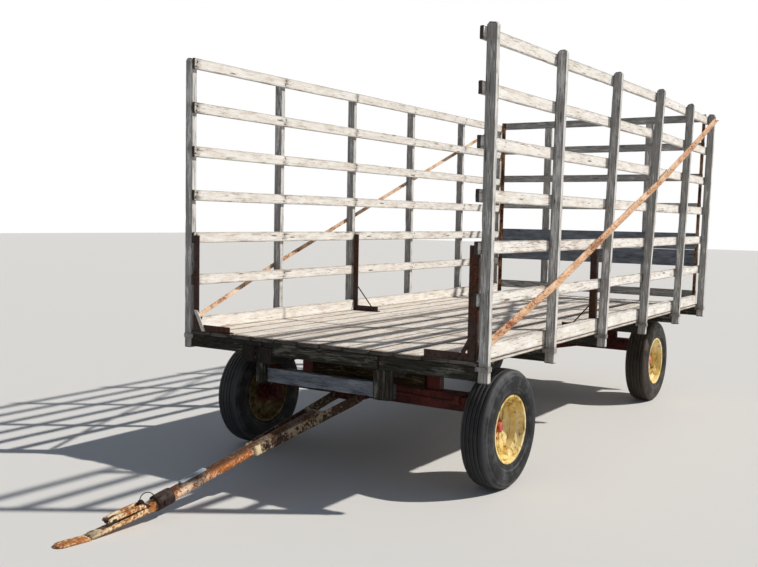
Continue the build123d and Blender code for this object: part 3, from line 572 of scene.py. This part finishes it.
def add_board(work, axis, rows, ragged, wave, edge=2.4, step=75, sag=0.0, stains=(),
              corner_loss=0.0):
    """One weathered board along an axis, through rows as sections() gives them. Its edges are worn
    round and chipped, its ends are ragged, and it keeps inside its sections, apart from the sag of
    its whole length up and down."""
    a, b = [k for k in range(3) if k != axis]
    offset = Vector([random.uniform(0, 90) for _ in range(3)])
    start, stop = rows[0][0], rows[-1][0]
    inner = stop - start - 2 * TORN_END
    count = max(2, round(inner / (step * mm)))
    places = [start, start + NEAR_END, stop - NEAR_END, stop] + [row[0] for row in rows[1:-1]]
    places = sorted(places + [start + TORN_END + inner * i / count for i in range(count + 1)])
    places = [p for i, p in enumerate(places) if i == 0 or p - places[i - 1] > SAME_PLACE]
    wide = [max(row[2 + 2 * k] - row[1 + 2 * k] for row in rows) for k in (0, 1)]
    mids = [max(0, round((w - 14 * mm) / (30 * mm)) - 1) for w in wide]
    rings = []
    for place in places:
        i = max([k for k in range(len(rows)) if rows[k][0] <= place + 1e-6] or [0])
        j = min(i + 1, len(rows) - 1)
        share = 0 if i == j else (place - rows[i][0]) / (rows[j][0] - rows[i][0])
        a0, a1, b0, b1 = (rows[i][k] + (rows[j][k] - rows[i][k]) * share for k in (1, 2, 3, 4))
        drop = sag * mm * noise.noise(Vector((place * 0.9, offset.x, offset.y)))
        far = min(place - start, stop - place)
        inward_way = 1 if place - start < stop - place else -1
        fade = max(0.0, 1 - far / TORN_REACH)
        stain = max([1 - abs(place - s) / reach for s, reach in stains] + [0.0])
        points, grain, wear = [], [], []
        corners = ((a1, b0, -90), (a1, b1, 0), (a0, b1, 90), (a0, b0, 180))
        for k, (ca, cb, turn) in enumerate(corners):
            loose = noise.noise(offset + Vector((place * 6, k * 7.7, 0)))
            chip = noise.noise(offset + Vector((place * 14, k * 3.1, 5))) - CHIP_LIMIT
            chip = max(0.0, chip) * CHIP_DEPTH
            radius = edge * (1 + 0.6 * loose) * mm
            sa, sb = (-1 if ca == a1 else 1), (-1 if cb == b1 else 1)
            part = [(ca + sa * (radius + chip) + radius * math.cos(math.radians(turn + 45 * n)),
                     cb + sb * (radius + chip) + radius * math.sin(math.radians(turn + 45 * n)),
                     1.0) for n in range(3)]
            na, nb = corners[(k + 1) % 4][:2]
            length = abs(na - ca) + abs(nb - cb)
            da, db = (na > ca) - (na < ca), (nb > cb) - (nb < cb)
            margin = min(9 * mm, length * 0.3)
            gaps = (mids[0] if da else mids[1]) + 1
            for n in range(gaps + 1):
                d = margin + (length - 2 * margin) * n / gaps
                pa, pb = ca + da * d, cb + db * d
                inward = noise.noise(offset + Vector((place * 5, pa * 40, pb * 40)))
                inward = wave * mm * (0.5 + 0.5 * inward)
                part.append((pa - db * inward, pb + da * inward, 0.35 if n in (0, gaps) else 0.0))
            for pa, pb, near in part:
                # The ends are torn back unevenly, more at the corners
                torn = noise.noise(offset + Vector((pa * 35, pb * 35, 3.3)))
                torn += 0.5 * noise.noise(offset + Vector((pa * 130, pb * 130, 8.8)))
                torn = ragged * mm * (max(0.0, 0.45 + torn) + corner_loss * near)
                spot = [0.0, 0.0, 0.0]
                spot[axis], spot[a], spot[b] = place + torn * fade * inward_way, pa, pb
                spot[2] += drop
                points.append(Vector(spot))
                grain.append(offset + Vector((place - start, pa, pb)))
                wear.append((near, min(far, 0.5), stain))
        rings.append(work.ring(points, grain, wear))
    work.skin(rings)


def square_to(axis):
    """Two directions at right angles to an axis and to each other."""
    first = axis.orthogonal().normalized()
    return first, axis.cross(first)


def circle(first, second, count, start=0.0):
    """Directions evenly round a circle, from the first towards the second."""
    angles = [start + 2 * math.pi * k / count for k in range(count)]
    return [first * math.cos(angle) + second * math.sin(angle) for angle in angles]


def add_lathe(work, centre, along, outline, count=96, wobble=0.0):
    """A ring turned about an axis from a closed outline of rows: place along it, radius, wear."""
    along = along.normalized()
    rings = []
    for i, way in enumerate(circle(*square_to(along), count)):
        points, grain, wear = [], [], []
        for place, radius, *values in outline:
            shift = abs(wobble * mm * noise.noise(way * 9 + along * place * 0.02))
            points.append(centre + along * place * mm + way * (radius * mm - shift))
            grain.append(Vector((2 * math.pi * i / count * TURN_GRAIN, place * mm, radius * mm)))
            wear.append(tuple(values) if values else (0.0, 0.5, 0.0))
        rings.append(work.ring(points, grain, wear))
    work.skin(rings + rings[:1], caps=False)


def filleted(corners, size):
    """A closed outline with its corners rounded in three points each."""
    outline = []
    for i, corner in enumerate(corners):
        here = Vector(corner)
        before = Vector(corners[i - 1]) - here
        after = Vector(corners[(i + 1) % len(corners)]) - here
        cut = min(size, before.length * 0.45, after.length * 0.45)
        low, high = here + before.normalized() * cut, here + after.normalized() * cut
        outline += [tuple(low), tuple((low + here * 2 + high) / 4), tuple(high)]
    return outline


def add_stud(work, centre, out, radius, height, sides=8, dome=True):
    """A small head standing on a face: a domed nail or rivet, or the flat head of a bolt."""
    out = out.normalized()
    ways = circle(*square_to(out), sides)
    rings = [work.ring([centre + out * height * rise * mm + way * radius * share * mm
                        for way in ways]) for share, rise in (DOME_HEAD if dome else FLAT_HEAD)]
    work.skin(rings, flat=not dome)


def add_bolt(work, centre, out, radius, height):
    """A hexagonal bolt head or nut."""
    add_stud(work, centre, out, radius, height, sides=6, dome=False)


def add_rod(work, path, radius, sides=6):
    """A bar of round section through a few points."""
    rings = []
    for i, spot in enumerate(path):
        way = (path[min(i + 1, len(path) - 1)] - path[max(i - 1, 0)]).normalized()
        first = way.orthogonal() if abs(way.z) > 0.9 else way.cross(UP)
        first.normalize()
        rings.append(work.ring([spot + side * radius * mm
                                for side in circle(first, first.cross(way), sides)]))
    work.skin(rings)


def build_racks():
    """Slats, posts, side boards and tail boards of the racks, with the nails that hold them."""
    post_stains = [(x, 0.055) for x in POST_MIDDLES]
    nails, bent = Work(), Work()
    for node, side in (("left_slats", 1), ("right_slats", -1)):
        work = Work()
        for slat in solids(node):
            rows = sections(slat, 0)
            add_board(work, 0, rows, step=90, ragged=5, wave=0.7, sag=2.5, stains=post_stains,
                      corner_loss=0.6)
            for x in POST_MIDDLES:
                row = min(rows, key=lambda row: abs(row[0] - x))
                inner, outer = (row[1], row[2]) if side > 0 else (row[2], row[1])
                middle = (row[3] + row[4]) / 2
                for up, along in ((17, -9), (-16, 8)):
                    spot = Vector((x + (along + random.uniform(-5, 5)) * mm,
                                   inner + side * 0.6 * mm,
                                   middle + (up + random.uniform(-4, 4)) * mm))
                    add_stud(nails, spot, Vector((0, -side, 0)), *SLAT_NAIL)
                # Nail points come out behind the post's rear edge and are bent over
                for up in (14, -14):
                    start = Vector((x - random.uniform(27, 31) * mm, outer - side * 2 * mm,
                                    middle + (up + random.uniform(-6, 6)) * mm))
                    knee = start + Vector((0, side * 9 * mm, 0))
                    tip = start + Vector((random.uniform(-16, 4), side * 13,
                                          random.uniform(-12, -3))) * mm
                    add_rod(bent, [start, knee, tip], BENT_NAIL)
        work.finish(node + "_worn", "root", "white_wood", "rack", (node,))
    nails.finish("slat_nails", "root", "rusted_steel", "nail")
    bent.finish("bent_nail_points", "root", "rusted_steel", "nail")

    slat_stains = [(z, 0.05) for z in SLAT_HEIGHTS]
    for node in ("left_posts", "right_posts"):
        work = Work()
        for post in solids(node):
            add_board(work, 2, sections(post, 2), edge=3.0, step=60, ragged=4, wave=0.9,
                      stains=slat_stains)
        work.finish(node + "_worn", "root", "white_wood", "post", (node,))

    # The side boards are cut in from their inner face behind the third posts
    work = Work()
    for board in solids("side_curbs"):
        low, high = corners_of(board)
        rows = []
        for x, cut in ((-4880, 0), (-2024.1, 0), (-2024, 16), (-1972, 16), (-1971.9, 0), (-50, 0)):
            left_side = low.y > MIDDLE
            ends = (low.y + cut * mm, high.y) if left_side else (low.y, high.y - cut * mm)
            rows.append((FRONT + x * mm, *ends, low.z, high.z))
        add_board(work, 0, rows, edge=3.4, step=70, ragged=16, wave=1.4, stains=post_stains,
                  corner_loss=0.8)
    work.finish("side_curbs_worn", "root", "white_wood", "rack", ("side_curbs",))

    # The tail panel takes the blue grey painted shade of a white board
    for node, axis, edge, ragged, sag, material in (
            ("tail_slats", 1, 2.4, 4, 2.5, "post"), ("tail_panel", 1, 2.4, 4, 0, "blue"),
            ("tail_sill_board", 1, 2.8, 6, 0, "post"), ("tail_posts", 2, 3, 4, 0, "post")):
        work = Work()
        for board in solids(node):
            add_board(work, axis, box_rows(board, axis), edge=edge, ragged=ragged, wave=0.9,
                      sag=sag)
        work.finish(node + "_worn", "root", "white_wood", material, (node,))


def build_bed():
    """Planks, header, sills, hangers and bolsters, with the nails that hold the planks to the
    joists.
    """
    work, heads = Work(), Work()
    joists = [x - 19 for x in POSTS]
    joist_stains = [(FRONT + x * mm, 0.03) for x in joists]
    for plank in solids("deck_planks"):
        low, high = corners_of(plank)
        top = high.z - random.uniform(0, 1.6) * mm
        add_board(work, 0, [(x, low.y, high.y, low.z, top) for x in (low.x, high.x)], edge=3.2,
                  step=70, ragged=8, wave=1.6, stains=joist_stains, corner_loss=0.4)
        for x in joists:
            for y in (low.y + 32 * mm, high.y - 32 * mm):
                spot = Vector((FRONT + (x + random.uniform(-7, 7)) * mm,
                               y + random.uniform(-9, 9) * mm, top - 0.9 * mm))
                add_stud(heads, spot, UP, *DECK_NAIL)
    work.finish("deck_planks_worn", "root", "deck_wood", "deck", ("deck_planks",))
    heads.finish("deck_nails", "root", "rusted_steel", "nail")

    # The header's three boards, cut up over the sill blocks
    work = Work()
    top, foot, notch = 864, 775, 829
    for ends in (((-1128, foot), (-646, foot), (-645.9, notch), (-480, notch)),
                 ((-478, notch), (-392.1, notch), (-392, foot), (447, foot)),
                 ((449, foot), (1128, foot))):
        add_board(work, 1, [(MIDDLE + y * mm, FRONT - 38 * mm, FRONT, low * mm, top * mm)
                            for y, low in ends], edge=3.4, ragged=3, wave=1.4)
    work.finish("front_header_worn", "root", "grey_wood", "grey", ("front_header",))

    # The hanger board takes the blue grey painted shade of a white board
    for node, axis, edge, ragged, wave, slot, material in (
            ("long_sills", 0, 3.6, 7, 1.6, "grey_wood", "grey"),
            ("hanger_posts", 2, 3.6, 5, 1.6, "grey_wood", "grey"),
            ("hanger_board", 1, 2.8, 3, 1.0, "white_wood", "blue"),
            ("front_bolster", 1, 5, 5, 1.8, "grey_wood", "bolster"),
            ("rear_bolster", 1, 5, 5, 1.8, "grey_wood", "bolster")):
        work = Work()
        for board in solids(node):
            add_board(work, axis, box_rows(board, axis), edge=edge, ragged=ragged, wave=wave,
                      step=70)
        work.finish(node + "_worn", "root", slot, material, (node,))


def tyre_outline(less):
    """Outline of a tyre with five ribs: place across, radius, then wear that also stands for
    painted highlight, nothing, and painted shade.
    """
    tread, half, bead = HALF_TREAD - less, HALF_TYRE - less, BEAD - less
    rows = []
    groove_wall, groove_lip = 2.6, 3.4

    def crown(y):
        return 382 - 5 * (y / tread) ** 2

    for rib in range(RIBS):
        low = -tread + 2 * tread * rib / RIBS
        high = -tread + 2 * tread * (rib + 1) / RIBS
        # Painted shade on rib tops, most in grooves; lighter rib edges are partly painted highlight
        if rib:
            rows += [(low, crown(low) - 8.5, 0, 0, 1),
                     (low + groove_wall, crown(low) - 8, 0, 0, 1),
                     (low + groove_lip, crown(low) - 1.6, 0.6, 0, 0.3)]
        rows += [(y, crown(y), worn, 0, 0.55)
                 for y, worn in ((low + 4.8, 1), ((low + high) / 2, 0.2), (high - 4.8, 1))]
        if rib < RIBS - 1:
            rows += [(high - groove_lip, crown(high) - 1.6, 0.6, 0, 0.3),
                     (high - groove_wall, crown(high) - 8, 0, 0, 1)]
    # Wall: lighter shoulder bands, partly painted highlight, and painted shade by the bead
    wall = [(tread + 5, 371, 0.8, 0, 0), (half - 16, 364, 0.5, 0, 0), (half - 9, 350, 0.2, 0, 0),
            (half - 6.5, 343, 0.7, 0, 0), (half - 6, 340, 0.1, 0, 0), (half - 2.5, 322, 0, 0, 0),
            (half - 0.8, 304, 0, 0, 0), (half - 1, 286, 0, 0, 0), (half - 3.2, 268, 0, 0, 0),
            (half - 5.6, 257, 0.5, 0, 0), (half - 8.6, 255, 0, 0, 0.2),
            (half - 10, 245, 0, 0, 0.2), (half - 12.5, 234, 0.2, 0, 0),
            (half - 17, 226, 0.1, 0, 0.3), (bead + 6, 223.4, 0, 0, 0.8), (bead, 207.2, 0, 0, 1)]
    return rows + wall + [(-y, r, *values) for y, r, *values in wall[::-1]]


def build_wheels():
    """Tyres, rims and hubs, each turned from its outline about its own stub axle."""
    for joint in frame["joints"]:
        if not joint["name"].endswith("_wheel_spin"):
            continue
        name = joint["name"][:-len("_wheel_spin")]
        body = name + "_wheel"
        centre = Vector(joint["pos_m"])
        out = Vector(joint["axis"]) * (1 if "left" in name else -1)
        less = FRONT_LESS if "front" in name else 0
        # The front right wheel stands in the shade of the bed, so its rim and hub take darker
        # paint:
        # painted shade
        dull = name == "front_right"
        work = Work()
        add_lathe(work, centre, out, tyre_outline(less), count=128, wobble=0.5)
        work.finish(name + "_tyre_ribbed", body, "tyre", "tyre" if less else "dusty",
                    (name + "_tyre",))

        half, bead = HALF_RIM - less, BEAD - less
        work = Work()
        outside = [(half + 1.5, 221.2), (bead + 0.2, 207.5), (bead - 4, 206.4), (46, 202),
                   (34, 181)]
        inside = [(30, 176), (46, 197), (half + 2, 202.4), (half + 5, 219)]
        both = (outside + [(-y, r) for y, r in outside[::-1]]
                + [(-y, r) for y, r in inside[::-1]] + inside)
        add_lathe(work, centre, out, filleted(both, 4))
        disc = -9 - less
        disc_thick = 8
        face = [(disc, 178), (disc + 3, 160), (disc - 1, 148), (disc - 13, 120), (disc - 14, 92),
                (disc - 9, 84), (disc - 14, 76), (disc - 14, 58)]
        back = [(y - disc_thick, r) for y, r in face[::-1]]
        add_lathe(work, centre, out, filleted(face + back, 4))
        # A weld bead joins disc and barrel
        add_lathe(work, centre, out, [(disc + 4, 177), (disc - 1, 171), (disc - 2, 177)])
        # The front right rim takes the darkened rim paint: painted shade
        work.finish(name + "_rim_pressed", body, "rim_paint", "dull_rim" if dull else "rim",
                    (name + "_rim",))

        bowl = disc - 14
        flange = bowl - disc_thick
        end = 26 - less if less else 46
        work = Work()
        hub = [(flange - 54, 23), (flange - 54, 56), (flange - 12, 56), (flange - 12, 78),
               (flange, 78), (flange, 40), (bowl + 6, 37), (bowl + 9, 30), (end - 12, 30),
               (end - 5, 27), (end - 1, 16), (end, 4), (end - 3, 1), (end - 8, 1), (end - 8, 23)]
        add_lathe(work, centre, out, filleted(hub, 2.5), count=40)
        for way in circle(*square_to(out), WHEEL_NUTS, math.radians(14)):
            spot = centre + out * bowl * mm + way * NUT_CIRCLE * mm
            add_bolt(work, spot, out, 11, 13)
            add_stud(work, spot + out * 13 * mm, out, 6, 7)
        # The front right hub takes the darker gear red: painted shade
        work.finish(name + "_hub_turned", body, "hub_paint", "gear" if dull else "hub",
                    (name + "_hub",))


def build_tongue():
    """Hitch, collar and the small parts on the tongue, placed along its own line."""
    hinge = next(Vector(j["pos_m"]) for j in frame["joints"] if j["name"] == "tongue_lift")
    turn, slope, nose_slope = (math.radians(a) for a in (-9, -14.7, -8.9))
    flat = Vector((math.cos(turn), math.sin(turn), 0))
    across = Vector((-math.sin(turn), math.cos(turn), 0))
    along = flat * math.cos(slope) + UP * math.sin(slope)
    up = along.cross(across)
    nose_along = flat * math.cos(nose_slope) + UP * math.sin(nose_slope)
    nose_up = nose_along.cross(across)
    bend = hinge + along * 1.567

    def on_pole(x, y, z):
        return hinge + along * x * mm + across * y * mm + up * z * mm

    def on_nose(x, y, z):
        return bend + nose_along * x * mm + across * y * mm + nose_up * z * mm

    def add_bar(work, rows, rounding=4):
        """A forged bar along the nose: place along it, low and high across, low and high up."""
        rings = []
        for x, y0, y1, z0, z1 in rows:
            points = []
            for y, z in filleted([(y0, z0), (y1, z0), (y1, z1), (y0, z1)], rounding):
                spot = Vector((x * 0.03, y * 0.1, z * 0.1))
                inward = (y > (y0 + y1) / 2) * 1.5 * abs(noise.noise(spot))
                down = (z > (z0 + z1) / 2) * 2 * abs(noise.noise(spot * 2.3))
                points.append(on_nose(x, y - inward, z - down))
            rings.append(work.ring(points))
        work.skin(rings)

    def add_plates(work, rows, place):
        """A flat piece through filleted sections: place along it, then low and high of the two
        other axes, and the rounding."""
        work.skin([work.ring([place(x, y, z) for y, z in
                              filleted([(y0, z0), (y1, z0), (y1, z1), (y0, z1)], rounding)])
                   for x, y0, y1, z0, z1, rounding in rows])

    # Lower bar: thick where it leaves the collar, worn thin, and lying on the ground at its toe
    work = Work()
    add_bar(work, [(-12, -31, 31, -30, 30), (28, -33, 33, -31, 24), (70, -35, 35, -31, 10),
                   (120, -36, 36, -31, 3), (180, -37, 37, -31, -3), (250, -38, 38, -31, -8),
                   (330, -39, 39, -31, -12), (440, -39, 39, -31, -15)], 11)
    toe = on_nose(457, 0, -31)
    toe.z = 0
    add_plates(work, [(x, -wide, wide, 0.5, high, 4) for x, wide, high in
                      ((-24, 38, 16), (30, 38, 15.5), (90, 39, 15), (131, 39, 14), (148, 34, 13),
                       (160, 25, 11), (168, 12, 8))],
               lambda x, y, z: toe + flat * x * mm + across * y * mm + UP * z * mm)
    # Upper casting: two worn ridges, the far one wider, over a hollow floor made dark as painted
    # shade
    ridge = ((92, 24), (100, 33), (116, 38), (138, 38), (160, 37), (184, 38), (208, 36),
             (232, 37), (256, 35), (280, 35), (302, 32), (316, 28), (322, 22))
    for y0, y1 in ((-38, -16), (14, 36)):
        add_bar(work, [(x, y0, y1, 12, high + 3 * noise.noise(Vector((x * 0.03, y0, 4))))
                       for x, high in ridge], 5)
    work.finish("hitch_forged", "tongue", "rusted_steel", "hitch", ("hitch_clevis",))
    # The hollow floor in blackened rust, as painted shade in the hollow, with a boss, pin head and
    # ring
    work = Work()
    add_bar(work, [(60, -34, 32, 4, 14), (90, -36, 34, 8, 22), (200, -36, 34, 10, 23),
                   (274, -36, 34, 10, 21)])
    add_lathe(work, on_nose(290, 0, 0), nose_up,
              filleted([(9, 13), (9, 38), (26, 38), (29, 22), (23, 13)], 2), count=32)
    # A pin head stands at the root of the casting, with its ring leaning back over the collar
    head = on_nose(98, -8, 24)
    add_stud(work, head, nose_up, 21, 24, sides=12)
    arc = [math.radians(180 * k / 14) for k in range(15)]
    add_rod(work, [head + nose_up * (12 + 36 * math.sin(a)) * mm
                   + nose_along * (-44 + 46 * math.cos(a)) * mm
                   - across * 14 * math.sin(a) * mm for a in arc], 2.8)
    work.finish("hitch_hollow", "tongue", "rusted_steel", "dark")

    # Collar, crusted with rust, and its locking bolt
    work = Work()
    middle = hinge + along * 1.5305
    rows = [(-56.5 + 113 * i / 8, 46.8 - (1.6 if i in (0, 8) else 0)) for i in range(9)]
    add_lathe(work, middle, along, rows + [(56, 38.6), (-56, 38.6)], count=48, wobble=2.2)
    add_bolt(work, middle + across * 45 * mm + along * 10 * mm, across, 11, 9)
    work.finish("tongue_collar_crusted", "tongue", "rusted_steel", "dark", ("tongue_collar",))

    # Flat bar lying along the top of the pole, and bolts through the members
    work = Work()
    add_plates(work, [(x, -15, 19, low, 46, 2) for x, low in
                      ((1222, 41), (1232, 37.4), (1392, 37.4), (1402, 41))], on_pole)
    work.finish("pole_flat_bar", "tongue", "rusted_steel", "bare")
    work = Work()
    for x, y in ((780, 53), (680, 63), (320, 93)):
        for side in (-1, 1):
            add_bolt(work, on_pole(x, side * y, 0), across * side, 12, 9)
    work.finish("member_bolts", "tongue", "rusted_steel", "dark")
    # Pads close the front ends of the members against the pole
    work = Work()
    for side in (-1, 1):
        add_plates(work, [(x, 38.4, 38.4 + thick, -31, 31, 3) for x, thick in
                          ((828, 8), (834, 11), (866, 11), (876, 6))],
                   lambda x, y, z: on_pole(x, side * y, z))
    work.finish("member_end_pads", "tongue", "rusted_steel", "cream")


def build_fittings():
    """Bolt heads of the header and the hangers, each set on the face it stands on, and a strut."""
    work = Work()
    ahead = Vector((1, 0, 0))
    for y, z, size in ((430, 815, 9), (482, 800, 9), (-600, 850, 7), (-1040, 820, 8),
                       (1060, 820, 8)):
        add_bolt(work, at(-1, y, z), ahead, size, size * 0.6)
    for post in solids("hanger_posts"):
        low, high = corners_of(post)
        for z in (640, 720):
            add_bolt(work, Vector((high.x - 1 * mm, (low.y + high.y) / 2, z * mm)), ahead, 9, 6)
    work.finish("bolt_heads", "root", "rusted_steel", "nail")
    # The strut of the front right bracket still has its white paint
    low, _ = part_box("stake_brackets")
    work = Work()
    work.skin([work.ring([Vector((FRONT + x * mm, low.y + y * mm, (DECK + up) * mm))
                          for y, up in ((6, 147), (38, 147), (115, 1), (83, 1))])
               for x in (-0.5, 7.5)], flat=True)
    work.finish("painted_strut", "root", "white_wood", "chalk")


def build_camera():
    data = bpy.data.cameras.new("camera")
    data.lens = CAMERA_LENS
    data.sensor_width = 36
    data.clip_end = 200
    camera = new_object("camera", data)
    right, up = Vector(CAMERA_RIGHT).normalized(), Vector(CAMERA_UP).normalized()
    back = right.cross(up)
    up = back.cross(right)
    camera.matrix_world = (Matrix.Translation(Vector(CAMERA_PLACE))
                           @ Matrix((right, up, back)).transposed().to_4x4())
    bpy.context.scene.camera = camera


def build_stage():
    """Pale floor, white surroundings, a main lamp high on the wagon's left and rear, and a fill."""
    mesh = bpy.data.meshes.new("floor")
    reach = 60
    mesh.from_pydata([(-reach, -reach, 0), (reach, -reach, 0), (reach, reach, 0),
                      (-reach, reach, 0)], [], [(0, 1, 2, 3)])
    floor = new_object("floor", mesh)
    floor.location.z = -1 * mm
    material, tree, shader = new_material("pale matt studio floor")
    feed(tree, shader, {"Base Color": colour("d6d5d3"), "Roughness": 0.9})
    mesh.materials.append(material)

    # The camera sees white surroundings, and the wagon gets a weak light from a blue sky
    world = bpy.data.worlds.new("studio surroundings")
    world.use_nodes = True
    tree = world.node_tree
    tree.nodes.clear()
    path = add(tree, "LightPath").outputs
    seen = calc(tree, "ADD", path["Is Camera Ray"], path["Is Glossy Ray"])
    seen = add(tree, "Math", {0: seen, 1: path["Is Transmission Ray"]}, operation="ADD",
               use_clamp=True)
    sky = add(tree, "Background", {"Color": colour("c3d6f2"), "Strength": 0.2})
    white = add(tree, "Background", {"Color": (1, 1, 1, 1), "Strength": 1.0})
    mix = add(tree, "MixShader", {0: seen.outputs[0], 1: sky.outputs[0], 2: white.outputs[0]})
    add(tree, "OutputWorld", {"Surface": mix.outputs[0]})
    bpy.context.scene.world = world

    for name, kind, place, size, strength in (
            ("main lamp", "SUN", (-5.0, 7.3, 9.2), 0.022, 3.95),
            ("front fill lamp", "AREA", (9, 1.0, 6), 6, 9)):
        data = bpy.data.lights.new(name, kind)
        if kind == "SUN":
            data.angle = size
        else:
            data.shape = "DISK"
            data.size = size
        data.energy = strength
        data.color = colour("fffaf2")[:3]
        lamp = new_object(name, data)
        lamp.location = place
        lamp.rotation_mode = "QUATERNION"
        lamp.rotation_quaternion = (LAMP_AIM - Vector(place)).to_track_quat("-Z", "Y")
    bpy.context.scene.view_settings.view_transform = "Standard"


build_camera()
build_stage()
build_racks()
build_bed()
build_wheels()
build_tongue()
build_fittings()
for node, material in FINISHES.items():
    mesh = frame["nodes"][node].data
    mesh.materials.clear()
    mesh.materials.append(MATERIALS[material])
